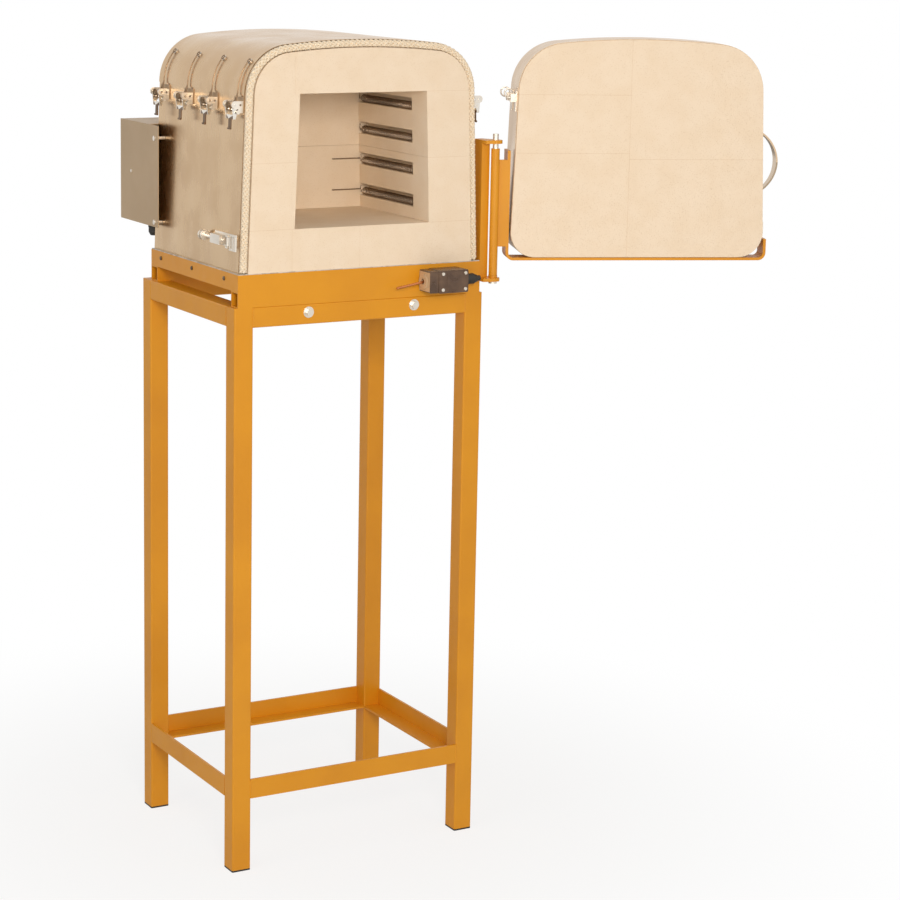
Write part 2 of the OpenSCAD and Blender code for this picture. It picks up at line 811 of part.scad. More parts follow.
module door_handle() {
    half = handle_l / 2;
    bow_r = (half * half + handle_out * handle_out) / (2 * handle_out);
    t = 3;
    mid_y = (door_face_y + door_back_y) / 2;
    x0 = side_x(handle_z - half - 16) + 0.1;
    color([0.8, 0.75, 0.68]) door_pose() translate([-x0, mid_y, handle_z]) mirror([1, 0, 0]) {
        intersection() {
            along_y(-handle_w / 2, handle_w / 2) intersection() {
                translate([handle_out - bow_r, 0]) difference() {
                    circle(bow_r, $fn = 180);
                    circle(bow_r - t, $fn = 180);
                }
                translate([0, -half - 2]) square([handle_out + 1, 2 * half + 4]);
            }
            rotate([0, 90, 0]) translate([0, 0, -1]) linear_extrude(handle_out + 4)
                polygon([
                    [-half - 4, -handle_w / 3],
                    [0, -handle_w / 2],
                    [half + 4, -handle_w / 3],
                    [half + 4, handle_w / 3],
                    [0, handle_w / 2],
                    [-half - 4, handle_w / 3]
                ]);
        }
        for (s = [-1, 1]) translate([0, 0, s * (half + 5)]) {
            translate([0, -8, -9]) cube([2.4, 16, 18]);
            translate([2.4, 0, s * 3]) rotate([0, 90, 0]) cylinder(r = 3.2, h = 2);
        }
    }
}

module door_fittings() {
    mid_y = (door_face_y + door_back_y) / 2;
    color(bright) door_pose() {
        z = brick_z + keeper_up;
        translate([-side_x(z - 14) - 0.1, door_face_y - 24, z]) mirror([1, 0, 0]) {
            translate([0, -14, -12]) cube([2, 28, 24]);
            translate([2, -14, -12]) cube([7, 3, 24]);
        }
        translate([-side_x(handle_z + 80) - 0.6, mid_y, handle_z + 90]) mirror([1, 0, 0]) {
            translate([0, -7, -6]) cube([1.5, 14, 12]);
            translate([1.5, 0, 0]) rotate([0, 90, 0]) cylinder(r = 3.5, h = 3);
        }
        for (y = [-20, 20]) translate([0, mid_y + y, 0]) band_clamp();
    }
}

// Clamp that draws the ends of the door's band together
module band_clamp() {
    translate([foot_p.x, 0, foot_p.y]) rotate([0, -side_lean, 0]) translate([0, 0, corner_s - 18]) {
        translate([0.1, -8, -22]) cube([1.6, 16, 36]);
        translate([1.7, -6, -6]) cube([9, 2, 14]);
        translate([1.7, 4, -6]) cube([9, 2, 14]);
        translate([7, 6, 2]) rotate([90, 0, 0]) cylinder(r = 2.4, h = 12);
        translate([13.5, 0, 9]) rotate([90, 0, 0]) rotate_extrude($fn = 96) translate([8, 0]) circle(1.3, $fn = 16);
    }
}

// Places a piece drawn outward along X and upward along Z on the side of the shell
module on_side(side, y) {
    mirror([side > 0 ? 0 : 1, 0, 0]) translate([foot_p.x, y, foot_p.y]) rotate([0, -side_lean, 0])
        translate([-side_inset, 0, latch_s]) children();
}

latch_s = latch_up / cos(side_lean);
arc_c = [-(corner_r - side_inset), corner_s - latch_s];
cheek_y = 16.5;
cheek_t = 1.5;
bracket_half = cheek_y + cheek_t + 0.5;
arm_y = 7;
crank = [latch_out - 4, -8.5];
rod_r = 1.1;
rod_out = 3.2;
hook_r = 3.5;
rod_low = [arc_c.x + corner_r + rod_out, arc_c.y];

module latch_bracket() {
    difference() {
        union() {
            translate([lay, -bracket_half, -13]) cube([1.5, 2 * bracket_half, 26]);
            for (s = [-1, 1]) translate([0, s * (cheek_y + cheek_t / 2), 0]) along_y(-cheek_t / 2, cheek_t / 2) {
                translate([latch_out, 0]) circle(6.5);
                translate([lay, -6.5]) square([latch_out - lay, 13]);
                translate([latch_out - 6, -12]) circle(3.5);
                translate([lay, -13]) square([latch_out - 6 - lay, 8]);
            }
        }
        translate([latch_out, 30, 0]) rotate([90, 0, 0]) cylinder(r = latch_pin_r + 0.05, h = 60);
        translate([6.5, 30, 0]) rotate([90, 0, 0]) cylinder(r = 2, h = 60);
    }
}

module latch_keeper() {
    translate([arc_c.x, 0, arc_c.y]) rotate([0, -hook_ring_angle, 0]) translate([corner_r + 0.15, 0, 0])
        rotate([0, 90, 0]) {
            cylinder(r = 5, h = 1.1);
            cylinder(r = 1.2, h = 3);
        }
}

hook_ring_angle = hook_angle + hook_r / (corner_r + rod_out) * 180 / PI;

module latch_brackets() {
    color(bright) for (side = [-1, 1], i = [1:latch_count]) on_side(side, latch_y(i)) {
        latch_bracket();
        latch_keeper();
    }
}

module latch_lever() {
    plate_y = cheek_y - 1.8;
    for (s = [-1, 1]) {
        translate([0, s * (plate_y - cheek_t / 2), 0]) along_y(-cheek_t / 2, cheek_t / 2) {
            translate([latch_out, 0]) circle(4.6);
            translate(crank) circle(4);
            polygon([
                [crank.x - 3, crank.y + 3],
                [latch_out + 2, 4],
                [latch_out + 4, -2],
                [latch_out + 1, -24],
                [latch_out - 3, -24]
            ]);
        }
        translate([latch_out, s * plate_y, 0]) rotate([s * -90, 0, 0])
            cylinder(r = latch_pin_r, h = cheek_y + cheek_t - plate_y + 0.6);
    }
    translate([crank.x, plate_y - 1, crank.y]) rotate([90, 0, 0]) cylinder(r = 1.5, h = 2 * plate_y - 2);
    translate([latch_out - 0.6, -plate_y, -24]) cube([1.6, 2 * plate_y, 7]);
    translate([latch_out - 0.6, -5, -latch_tail]) cube([1.6, 10, latch_tail - 20]);
    translate([latch_out + 1, 5, -latch_tail]) rotate([90, 0, 0]) cylinder(r = 1.8, h = 10);
}

module latch_bail() {
    start = [crank.x, 0, crank.y];
    low = [rod_low.x, 0, rod_low.y];
    run = (low - start) / norm(low - start);
    difference() {
        for (s = [-1, 1]) {
            translate([crank.x, s * arm_y + 1.5, crank.y]) rotate([90, 0, 0]) cylinder(r = 2.8, h = 3);
            bar(start + 2 * run + [0, s * arm_y, 0], low, rod_r);
        }
        translate([crank.x, 20, crank.y]) rotate([90, 0, 0]) cylinder(r = 1.55, h = 40);
    }
    translate(low) sphere(rod_r, $fn = 24);
    arc_bar(arc_c, corner_r + rod_out, 0, hook_angle, rod_r);
    translate([arc_c.x, 0, arc_c.y]) rotate([0, -hook_ring_angle, 0]) translate([corner_r + rod_out, 0, 0])
        rotate([0, 90, 0]) rotate_extrude($fn = 48) translate([hook_r, 0]) circle(0.9, $fn = 16);
}

module lever_at(side, i) {
    color([0.55, 0.5, 0.45]) on_side(side, latch_y(i)) latch_lever();
}

module bail_at(side, i) {
    color(bright) on_side(side, latch_y(i)) latch_bail();
}

lock_s = keeper_up / cos(side_lean);
lock_axis = 11;
spindle_r = 3;
spindle_l = 92;
lock_bail_y = shell_y + 20;

// Places a piece of the door lock on the left side, low at the front
module on_lock() {
    mirror([1, 0, 0]) translate([foot_p.x, 0, foot_p.y]) rotate([0, -side_lean, 0])
        translate([-side_inset, 0, lock_s]) children();
}

module lock_base() {
    color(bright) on_lock() difference() {
        union() {
            translate([lay, lock_bail_y - 5, -11]) cube([1.5, 80, 22]);
            for (s = [-1, 1]) translate([0, lock_bail_y, s * 9.5]) translate([lay, -4, -1.5]) cube([lock_axis + 4, 8, 3]);
            translate([lay, lock_bail_y + 22, -8]) cube([lock_axis + 6.5, 38, 16]);
        }
        translate([lock_axis, lock_bail_y + 10, 0]) rotate([-90, 0, 0]) cylinder(r = spindle_r + 0.05, h = 80);
        translate([lock_axis, lock_bail_y, -20]) cylinder(r = 1.55, h = 40);
    }
}

module lock_bail() {
    color(bright) on_lock() {
        translate([lock_axis, lock_bail_y, -12]) cylinder(r = 1.5, h = 24);
        translate([lock_axis, lock_bail_y, -7.5]) cylinder(r = 3.4, h = 15);
        difference() {
            union() {
                translate([lock_axis - 1.5, lock_bail_y - 30, -14]) cube([3, 24, 28]);
                translate([lock_axis - 1.5, lock_bail_y - 8, -7.5]) cube([3, 8, 15]);
            }
            translate([lock_axis - 3, lock_bail_y - 27, -10]) cube([6, 7, 20]);
            translate([lock_axis - 3, lock_bail_y - 17, -10]) cube([6, 7, 20]);
        }
    }
}

module lock_knob() {
    y0 = lock_bail_y + 14;
    color(bright) on_lock() translate([lock_axis, y0, 0]) rotate([-90, 0, 0]) {
        cylinder(r = spindle_r, h = spindle_l);
        translate([0, 0, spindle_l - 14]) cylinder(r = 5.5, h = 14);
        for (z = [14, 4]) translate([0, 0, spindle_l - z]) cylinder(r = 9, h = 3.5);
    }
}

leg(-1, -1);  // leg_front_left
leg(1, -1);  // leg_front_right
leg(-1, 1);  // leg_rear_left
leg(1, 1);  // leg_rear_right
top_rails();
lower_rails();
foot_caps();
frame_screws();
cross_beams();
base_frame();
floor_pan();
floor_bricks();
left_wall_bricks();
right_wall_bricks();
roof_bricks();
rear_wall_bricks();
side_sheet(-1);  // side_sheet_left
side_sheet(1);  // side_sheet_right
top_sheet();
back_panel();
rope_seal();
heating_coils();
coil_leads();
thermocouple();
terminal_block();
terminal_box();
box_fixings();
cable_glands();
latch_brackets();
hinge_post();
hinge_pin();
switch_body();
switch_rod();
lock_base();
lock_bail();
lock_knob();
door_bricks();
door_band();
door_back();
door_carrier();
door_handle();
door_fittings();
lever_at(-1, 1);  // latch_lever_left_1
lever_at(-1, 2);  // latch_lever_left_2
lever_at(-1, 3);  // latch_lever_left_3
lever_at(-1, 4);  // latch_lever_left_4
lever_at(1, 1);  // latch_lever_right_1
lever_at(1, 2);  // latch_lever_right_2
lever_at(1, 3);  // latch_lever_right_3
lever_at(1, 4);  // latch_lever_right_4
bail_at(-1, 1);  // latch_bail_left_1
bail_at(-1, 2);  // latch_bail_left_2
bail_at(-1, 3);  // latch_bail_left_3
bail_at(-1, 4);  // latch_bail_left_4
bail_at(1, 1);  // latch_bail_right_1
bail_at(1, 2);  // latch_bail_right_2
bail_at(1, 3);  // latch_bail_right_3
bail_at(1, 4);  // latch_bail_right_4
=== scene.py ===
"""Looks of a front-opening jewellery kiln on its stand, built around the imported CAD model."""

import logging
import math
from collections.abc import Callable, Iterable
from dataclasses import dataclass
from enum import Enum
from functools import lru_cache
from itertools import product

import bmesh
import bpy
from mathutils import Matrix, Vector


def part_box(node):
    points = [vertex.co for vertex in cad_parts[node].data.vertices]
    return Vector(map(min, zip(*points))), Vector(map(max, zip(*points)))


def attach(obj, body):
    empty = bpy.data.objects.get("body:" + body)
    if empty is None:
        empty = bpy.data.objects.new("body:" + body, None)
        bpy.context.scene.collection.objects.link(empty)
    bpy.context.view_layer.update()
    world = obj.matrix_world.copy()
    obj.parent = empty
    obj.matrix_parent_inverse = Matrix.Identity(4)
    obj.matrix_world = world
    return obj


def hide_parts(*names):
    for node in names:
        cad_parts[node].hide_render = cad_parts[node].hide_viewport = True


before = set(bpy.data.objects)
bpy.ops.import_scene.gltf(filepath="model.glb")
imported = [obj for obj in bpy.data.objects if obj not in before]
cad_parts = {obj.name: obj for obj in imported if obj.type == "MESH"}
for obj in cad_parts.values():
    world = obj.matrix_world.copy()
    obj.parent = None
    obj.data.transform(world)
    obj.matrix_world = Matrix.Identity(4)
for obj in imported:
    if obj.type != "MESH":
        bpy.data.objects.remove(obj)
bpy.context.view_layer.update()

LOG = logging.getLogger("kiln")
Colour = tuple[float, float, float, float]


def srgb(red: int, green: int, blue: int) -> Colour:
    """Turns a colour of eight-bit screen values into linear light.

    Args:
        red: Red from 0 to 255.
        green: Green from 0 to 255.
        blue: Blue from 0 to 255.

    Returns:
        The linear colour with a full alpha.
    """
    parts = [v / 255 for v in (red, green, blue)]
    linear = [v / 12.92 if v <= 0.04045 else ((v + 0.055) / 1.055) ** 2.4 for v in parts]
    return (linear[0], linear[1], linear[2], 1.0)


class Socket:
    """An output of a node that takes part in sums and products."""

    def __init__(self, nodes: "Nodes", out: bpy.types.NodeSocket) -> None:
        """Keeps the node tree's owner and the output."""
        self.nodes = nodes
        self.out = out

    def _math(self, operation: str, left: "Socket | float", right: "Socket | float") -> "Socket":
        """Adds one Math node.

        Args:
            operation: The node's operation.
            left: First value.
            right: Second value.

        Returns:
            The node's result.
        """
        return self.nodes.node("ShaderNodeMath", {"operation": operation}, {0: left, 1: right})

    def __add__(self, other: "Socket | float") -> "Socket":
        """Sum."""
        return self._math("ADD", self, other)

    def __radd__(self, other: float) -> "Socket":
        """Sum with a number in front."""
        return self._math("ADD", other, self)

    def __sub__(self, other: "Socket | float") -> "Socket":
        """Difference."""
        return self._math("SUBTRACT", self, other)

    def __rsub__(self, other: float) -> "Socket":
        """Difference from a number."""
        return self._math("SUBTRACT", other, self)

    def __mul__(self, other: "Socket | float") -> "Socket":
        """Product."""
        return self._math("MULTIPLY", self, other)

    def __rmul__(self, other: float) -> "Socket":
        """Product with a number in front."""
        return self._math("MULTIPLY", other, self)


class Nodes:
    """The node tree of a material or a world."""

    def __init__(self, owner: bpy.types.Material | bpy.types.World) -> None:
        """Empties the owner's node tree.

        Args:
            owner: The material or the world.
        """
        owner.use_nodes = True
        self.tree = owner.node_tree
        self.tree.nodes.clear()

    def feed(self, target: bpy.types.NodeSocket, value: object) -> None:
        """Links a socket to an input, or sets the input to a constant.

        Args:
            target: The input.
            value: A Socket, a number, a colour or a vector.
        """
        if isinstance(value, Socket):
            self.tree.links.new(value.out, target)
        else:
            target.default_value = value

    def add(
        self,
        kind: str,
        settings: dict[str, object] | None = None,
        sockets: dict[str | int, object] | None = None,
    ) -> bpy.types.Node:
        """Adds one node, its settings first and then the values or links of its inputs.

        Args:
            kind: The node's type.
            settings: Properties of the node.
            sockets: Inputs by name, identifier or number.

        Returns:
            The node.
        """
        made = self.tree.nodes.new(kind)
        for key, value in (settings or {}).items():
            setattr(made, key, value)
        for key, value in (sockets or {}).items():
            self.feed(self.pick(made.inputs, key), value)
        return made

    def node(
        self,
        kind: str,
        settings: dict[str, object] | None = None,
        sockets: dict[str | int, object] | None = None,
        out: str | int = 0,
    ) -> Socket:
        """Adds one node and gives one of its outputs.

        Args:
            kind: The node's type.
            settings: Properties of the node.
            sockets: Inputs by name, identifier or number.
            out: The output that is wanted.

        Returns:
            That output.
        """
        return Socket(self, self.pick(self.add(kind, settings, sockets).outputs, out))

    @staticmethod
    def pick(group: Iterable[bpy.types.NodeSocket], key: str | int) -> bpy.types.NodeSocket:
        """Finds a socket by its number, identifier or name.

        Args:
            group: The inputs or outputs of a node.
            key: What to look for.

        Returns:
            The first that fits.
        """
        if isinstance(key, int):
            return group[key]
        found = [s for s in group if s.identifier == key] or [s for s in group if s.name == key]
        return found[0]


class Shader(Nodes):
    """One material's node tree round a Principled shader."""

    def __init__(self, name: str) -> None:
        """Starts an empty material.

        Args:
            name: The material's name.
        """
        self.material = bpy.data.materials.new(name)
        super().__init__(self.material)
        self.surface = self.add("ShaderNodeBsdfPrincipled")
        self.result = Socket(self, self.surface.outputs["BSDF"])
        self.output = self.add("ShaderNodeOutputMaterial", None, {"Surface": self.result})
        self.place = self.node("ShaderNodeTexCoord", out="Object")

    def stretched(self, scale: tuple[float, float, float]) -> Socket:
        """Object coordinates multiplied along each axis."""
        return self.node("ShaderNodeMapping", None, {"Vector": self.place, "Scale": scale})

    def noise(self, scale: float, detail: float = 2.0, where: Socket | None = None) -> Socket:
        """Noise around 0.5.

        Args:
            scale: Features per metre.
            detail: Octaves.
            where: Coordinates, or the object's own.

        Returns:
            The noise's value.
        """
        sockets = {"Vector": where or self.place, "Scale": scale, "Detail": detail}
        return self.node("ShaderNodeTexNoise", None, sockets)

    def cells(self, scale: float) -> Socket:
        """Distance to the nearest of many scattered points, in cells."""
        return self.node("ShaderNodeTexVoronoi", None, {"Vector": self.place, "Scale": scale}, "Distance")

    def between(self, value: Socket, low: float, high: float) -> Socket:
        """Stretches a value smoothly so that low becomes 0 and high becomes 1.

        Args:
            value: The value.
            low: Where the result is 0.
            high: Where the result is 1.

        Returns:
            The clamped result.
        """
        sockets = {"Value": value, "From Min": low, "From Max": high}
        return self.node("ShaderNodeMapRange", {"interpolation_type": "SMOOTHSTEP"}, sockets)

    def blend(self, share: Socket, start: object, end: object) -> Socket:
        """Mixes two colours.

        Args:
            share: 0 gives start and 1 gives end.
            start: A colour or a Socket.
            end: A colour or a Socket.

        Returns:
            The mixed colour.
        """
        sockets = {"Factor_Float": share, "A_Color": start, "B_Color": end}
        return self.node("ShaderNodeMix", {"data_type": "RGBA"}, sockets, "Result_Color")

    def set(self, **values: object) -> None:
        """Feeds the Principled shader, its inputs named with underscores for spaces."""
        for key, value in values.items():
            self.feed(self.surface.inputs[key.replace("_", " ")], value)

    def relief(self, height: Socket, distance: float = 1.0) -> None:
        """Gives the surface a bump.

        Args:
            height: The height.
            distance: Metres for a height of 1.
        """
        bump = self.node("ShaderNodeBump", None, {"Strength": 1.0, "Distance": distance, "Height": height})
        self.set(Normal=bump)


@dataclass(frozen=True)
class Brick:
    """Soft insulating fire brick: pale, sandy, with open pores."""

    name: str = "fire_brick"
    pale: Colour = srgb(248, 232, 211)
    deep: Colour = srgb(243, 224, 199)
    pore_shade: Colour = srgb(226, 200, 168)
    clouds: float = 26.0
    pores: float = 340.0
    small_pores: float = 918.0
    grain: float = 1500.0
    roughness: float = 0.93
    specular: float = 0.2
    depth: float = 0.00045

    def paint(self, shader: Shader) -> None:
        """Draws clouds, grain and pores, each pore darkened with painted shade.

        Args:
            shader: The material that takes it.
        """
        cloud = shader.between(shader.noise(self.clouds, 5), 0.3, 0.7)
        speck = shader.noise(self.grain, 2)
        pit = shader.between(shader.cells(self.pores), 0.1, 0.26)
        small = shader.between(shader.cells(self.small_pores), 0.12, 0.3)
        colour = shader.blend(cloud * 0.6 + 0.2, self.deep, self.pale)
        # Painted shade: each pit that the bump sinks is darkened towards the pore colour.
        colour = shader.blend((1 - pit) * 0.55, colour, self.pore_shade)
        colour = shader.blend(speck * 0.18, colour, self.deep)
        shader.set(Base_Color=colour, Roughness=self.roughness, Specular_IOR_Level=self.specular)
        shader.relief(pit * 0.7 + small * 0.35 + speck * 0.5, self.depth)


@dataclass(frozen=True)
class Paint:
    """Sprayed stove enamel with a little orange peel and dust."""

    name: str
    colour: Colour
    shade: Colour
    roughness: float = 0.36
    coat: float = 0.25
    peel: float = 420.0
    height: float = 0.00006
    coat_roughness: float = 0.12
    clouds: float = 7.0
    dust: float = 2300.0
    rubs: float = 60.0
    spread: float = 0.16

    def paint(self, shader: Shader) -> None:
        """Draws the uneven film.

        Args:
            shader: The material that takes it.
        """
        cloud = shader.between(shader.noise(self.clouds, 4), 0.3, 0.7)
        speck = shader.between(shader.noise(self.dust, 1), 0.62, 0.75)
        colour = shader.blend(cloud, self.shade, self.colour)
        colour = shader.blend(speck * 0.1, colour, self.shade)
        rub = shader.noise(self.rubs, 3)
        shader.set(
            Base_Color=colour,
            Roughness=rub * self.spread + (self.roughness - self.spread / 2),
            Coat_Weight=self.coat,
            Coat_Roughness=self.coat_roughness,
        )
        shader.relief(shader.noise(self.peel, 2), self.height)


@dataclass(frozen=True)
class Metal:
    """Bare or plated metal with a drawn grain, stains and slow waves."""

    name: str
    colour: Colour
    stain: Colour
    roughness: float = 0.25
    grain: tuple[float, float, float] = (900.0, 60.0, 900.0)
    scratch: float = 0.00002
    wave: float = 0.0
    wave_scale: tuple[float, float, float] = (2.0, 16.0, 2.0)
    stains: float = 14.0

    def paint(self, shader: Shader) -> None:
        """Draws the grain, the stains and the waves.

        Args:
            shader: The material that takes it.
        """
        line = shader.noise(1, 3, shader.stretched(self.grain))
        cloud = shader.between(shader.noise(self.stains, 4), 0.35, 0.7)
        colour = shader.blend(cloud * 0.5 + line * 0.3, self.colour, self.stain)
        shader.set(
            Base_Color=colour,
            Metallic=1.0,
            Roughness=line * 0.12 + cloud * 0.08 + (self.roughness - 0.08),
        )
        height = line * self.scratch
        if self.wave:
            height = height + shader.noise(1, 1, shader.stretched(self.wave_scale)) * self.wave
        shader.relief(height)


@dataclass(frozen=True)
class Zinc:
    """Galvanised sheet with its spangle."""

    name: str = "galvanised"
    pale: Colour = srgb(222, 214, 202)
    dull: Colour = srgb(178, 170, 158)
    spangle: float = 110.0
    metallic: float = 0.9
    roughness: float = 0.32
    grain: float = 500.0
    height: float = 0.00004

    def paint(self, shader: Shader) -> None:
        """Draws flakes of zinc.

        Args:
            shader: The material that takes it.
        """
        sockets = {"Vector": shader.place, "Scale": self.spangle}
        flake = shader.node("ShaderNodeTexVoronoi", None, sockets, "Color")
        tone = shader.node("ShaderNodeSeparateColor", None, {"Color": flake}, "Red")
        shader.set(
            Base_Color=shader.blend(tone, self.dull, self.pale),
            Metallic=self.metallic,
            Roughness=tone * 0.2 + self.roughness,
        )
        shader.relief(shader.noise(self.grain, 2), self.height)


@dataclass(frozen=True)
class Moulded:
    """Moulded plastic or rubber with a fine texture."""

    name: str
    colour: Colour
    worn: Colour
    roughness: float = 0.42
    texture: float = 1300.0
    height: float = 0.00006
    rubs: float = 40.0

    def paint(self, shader: Shader) -> None:
        """Draws the texture and rubbed places.

        Args:
            shader: The material that takes it.
        """
        cloud = shader.between(shader.noise(self.rubs, 4), 0.4, 0.75)
        shader.set(
            Base_Color=shader.blend(cloud * 0.6, self.colour, self.worn),
            Roughness=cloud * 0.2 + (self.roughness - 0.1),
        )
        shader.relief(shader.cells(self.texture), self.height)


@dataclass(frozen=True)
class Fibre:
    """Spun ceramic yarn, matt, with fine fibres across it."""

    name: str = "ceramic_rope"
    pale: Colour = srgb(250, 238, 218)
    deep: Colour = srgb(226, 206, 176)
    fibres: float = 2600.0
    tufts: float = 160.0
    height: float = 0.00007

    def paint(self, shader: Shader) -> None:
        """Draws fibres and loose tufts.

        Args:
            shader: The material that takes it.
        """
        hair = shader.noise(self.fibres, 3)
        tuft = shader.between(shader.noise(self.tufts, 3), 0.42, 0.66)
        colour = shader.blend(hair * 0.55 + tuft * 0.25, self.pale, self.deep)
        shader.set(Base_Color=colour, Roughness=0.95, Specular_IOR_Level=0.15, Sheen_Weight=0.25)
        shader.relief(hair + tuft * 0.6, self.height)


@dataclass(frozen=True)
class Fired:
    """Glazed or sintered ceramic."""

    name: str
    colour: Colour
    speckle: Colour
    roughness: float = 0.5
    speckles: float = 1800.0
    grain: float = 700.0
    height: float = 0.00005

    def paint(self, shader: Shader) -> None:
        """Draws fine speckles.

        Args:
            shader: The material that takes it.
        """
        dots = shader.between(shader.noise(self.speckles, 2), 0.6, 0.72)
        shader.set(
            Base_Color=shader.blend(dots * 0.6, self.colour, self.speckle),
            Roughness=dots * 0.1 + self.roughness,
        )
        shader.relief(shader.noise(self.grain, 2), self.height)


class Look(Enum):
    """The finishes that the kiln's pieces take."""

    YELLOW = Paint("yellow_paint", srgb(226, 154, 16), srgb(217, 145, 14), 0.46, 0.08)
    BOX = Paint("box_paint", srgb(190, 164, 130), srgb(182, 156, 122), 0.5, 0.05, 600.0, 0.00008)
    BRICK = Brick()
    CEMENT = Brick("joint_cement", srgb(232, 208, 178), srgb(222, 196, 164), srgb(206, 178, 146))
    ROPE = Fibre()
    # The rope's core is darker than the braid: painted shade in the gaps between the strands.
    ROPE_CORE_PAINTED_SHADE = Fibre("rope_core_painted_shade", srgb(224, 202, 172), srgb(196, 168, 134))
    SHELL = Metal(
        "shell_steel", srgb(206, 177, 140), srgb(192, 160, 122), 0.26, (30.0, 900.0, 30.0), 0.000004, 0.0022
    )
    BRIGHT = Metal("bright_steel", srgb(238, 232, 222), srgb(206, 196, 182), 0.42)
    PLATE = Metal("bracket_plate", srgb(186, 162, 134), srgb(168, 142, 112), 0.55)
    LEVER = Metal("lever_steel", srgb(236, 232, 224), srgb(200, 190, 174), 0.2)
    HANDLE = Metal("handle_steel", srgb(204, 182, 154), srgb(172, 146, 118), 0.26)
    TAIL = Metal("lever_tail", srgb(132, 108, 84), srgb(92, 72, 56), 0.4)
    BAIL = Metal("bail_wire", srgb(158, 132, 104), srgb(112, 90, 70), 0.32)
    ZINC = Zinc()
    WIRE = Metal("coil_wire", srgb(176, 156, 136), srgb(92, 80, 70), 0.32, (500.0, 500.0, 500.0))
    SHEATH = Fired("sheath_ceramic", srgb(238, 232, 220), srgb(206, 196, 178))
    HOUSING = Moulded("switch_housing", srgb(84, 64, 50), srgb(124, 98, 76), 0.36)
    COLLAR = Moulded("switch_collar", srgb(206, 178, 144), srgb(182, 152, 118), 0.5)
    COPPER = Metal("copper_rod", srgb(206, 134, 84), srgb(160, 92, 56), 0.28)
    RUBBER = Moulded("black_plastic", srgb(34, 32, 30), srgb(58, 54, 50), 0.6)
    DARK_SCREW = Metal("dark_screw", srgb(120, 104, 88), srgb(70, 58, 48), 0.4)


@lru_cache(maxsize=None)
def material_of(look: Look) -> bpy.types.Material:
    """Makes a finish's material once.

    Args:
        look: The finish.

    Returns:
        Its material.
    """
    shader = Shader(look.value.name)
    look.value.paint(shader)
    return shader.material


def dress(nodes: Iterable[str], look: Look) -> None:
    """Gives CAD nodes one finish.

    Args:
        nodes: Names of the nodes.
        look: The finish.
    """
    for name in nodes:
        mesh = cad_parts[name].data
        mesh.materials.clear()
        mesh.materials.append(material_of(look))


def dress_where(node: str, look: Look, test: Callable[[Vector], bool]) -> None:
    """Gives some faces of a CAD node a second finish.

    Args:
        node: Name of the node.
        look: The second finish.
        test: True for the centre of a face that takes it.
    """
    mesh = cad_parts[node].data
    mesh.materials.append(material_of(look))
    index = len(mesh.materials) - 1
    for face in mesh.polygons:
        if test(face.center):
            face.material_index = index


def piece_from(
    bm: bmesh.types.BMesh, name: str, look: Look, body: str, smooth: bool = True
) -> bpy.types.Object:
    """Turns a bmesh into a piece that rides on a body.

    Args:
        bm: The shape, freed afterwards.
        name: The piece's name.
        look: Its finish.
        body: The CAD body that it moves with.
        smooth: Shades it smooth.

    Returns:
        The new object.
    """
    bmesh.ops.recalc_face_normals(bm, faces=bm.faces[:])
    mesh = bpy.data.meshes.new(name)
    for face in bm.faces:
        face.smooth = smooth
    bm.to_mesh(mesh)
    bm.free()
    return placed(bpy.data.objects.new(name, mesh), look, body)


def placed(piece: bpy.types.Object, look: Look, body: str) -> bpy.types.Object:
    """Links a piece to the scene, gives it its finish and its body.

    Args:
        piece: The object.
        look: Its finish.
        body: The CAD body that it moves with.

    Returns:
        The same object.
    """
    bpy.context.scene.collection.objects.link(piece)
    piece.data.materials.append(material_of(look))
    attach(piece, body)
    return piece


def cuboid(bm: bmesh.types.BMesh, low: Vector, high: Vector) -> None:
    """Adds a box between two corners.

    Args:
        bm: The mesh that takes it.
        low: Its lowest corner.
        high: Its highest corner.
    """
    middle, size = (low + high) / 2, high - low
    verts = bmesh.ops.create_cube(bm, size=1.0)["verts"]
    place = Matrix.Translation(middle) @ Matrix.Diagonal((*size, 1.0))
    bmesh.ops.transform(bm, matrix=place, verts=verts)


def wires(
    lines: Iterable[list[Vector]], radius: float, name: str, look: Look, body: str, sides: int = 8
) -> bpy.types.Object:
    """Draws round wires along lines and makes them one mesh.

    Args:
        lines: Points of each wire.
        radius: The wire's radius.
        name: The piece's name.
        look: Its finish.
        body: The CAD body that it moves with.
        sides: Faces round the wire, even and at least 4.

    Returns:
        The new object.
    """
    curve = bpy.data.curves.new(name, "CURVE")
    curve.dimensions = "3D"
    curve.bevel_depth = radius
    curve.bevel_resolution = (sides - 4) // 2
    curve.use_fill_caps = True
    for line in lines:
        spline = curve.splines.new("POLY")
        spline.points.add(len(line) - 1)
        for point, place in zip(spline.points, line):
            point.co = (*place, 1.0)
    drawn = bpy.data.objects.new(name, curve)
    bpy.context.scene.collection.objects.link(drawn)
    bpy.context.view_layer.update()
    mesh = bpy.data.meshes.new_from_object(drawn.evaluated_get(bpy.context.evaluated_depsgraph_get()))
    bpy.data.objects.remove(drawn)
    for face in mesh.polygons:
        face.use_smooth = True
    mesh.materials.clear()
    return placed(bpy.data.objects.new(name, mesh), look, body)


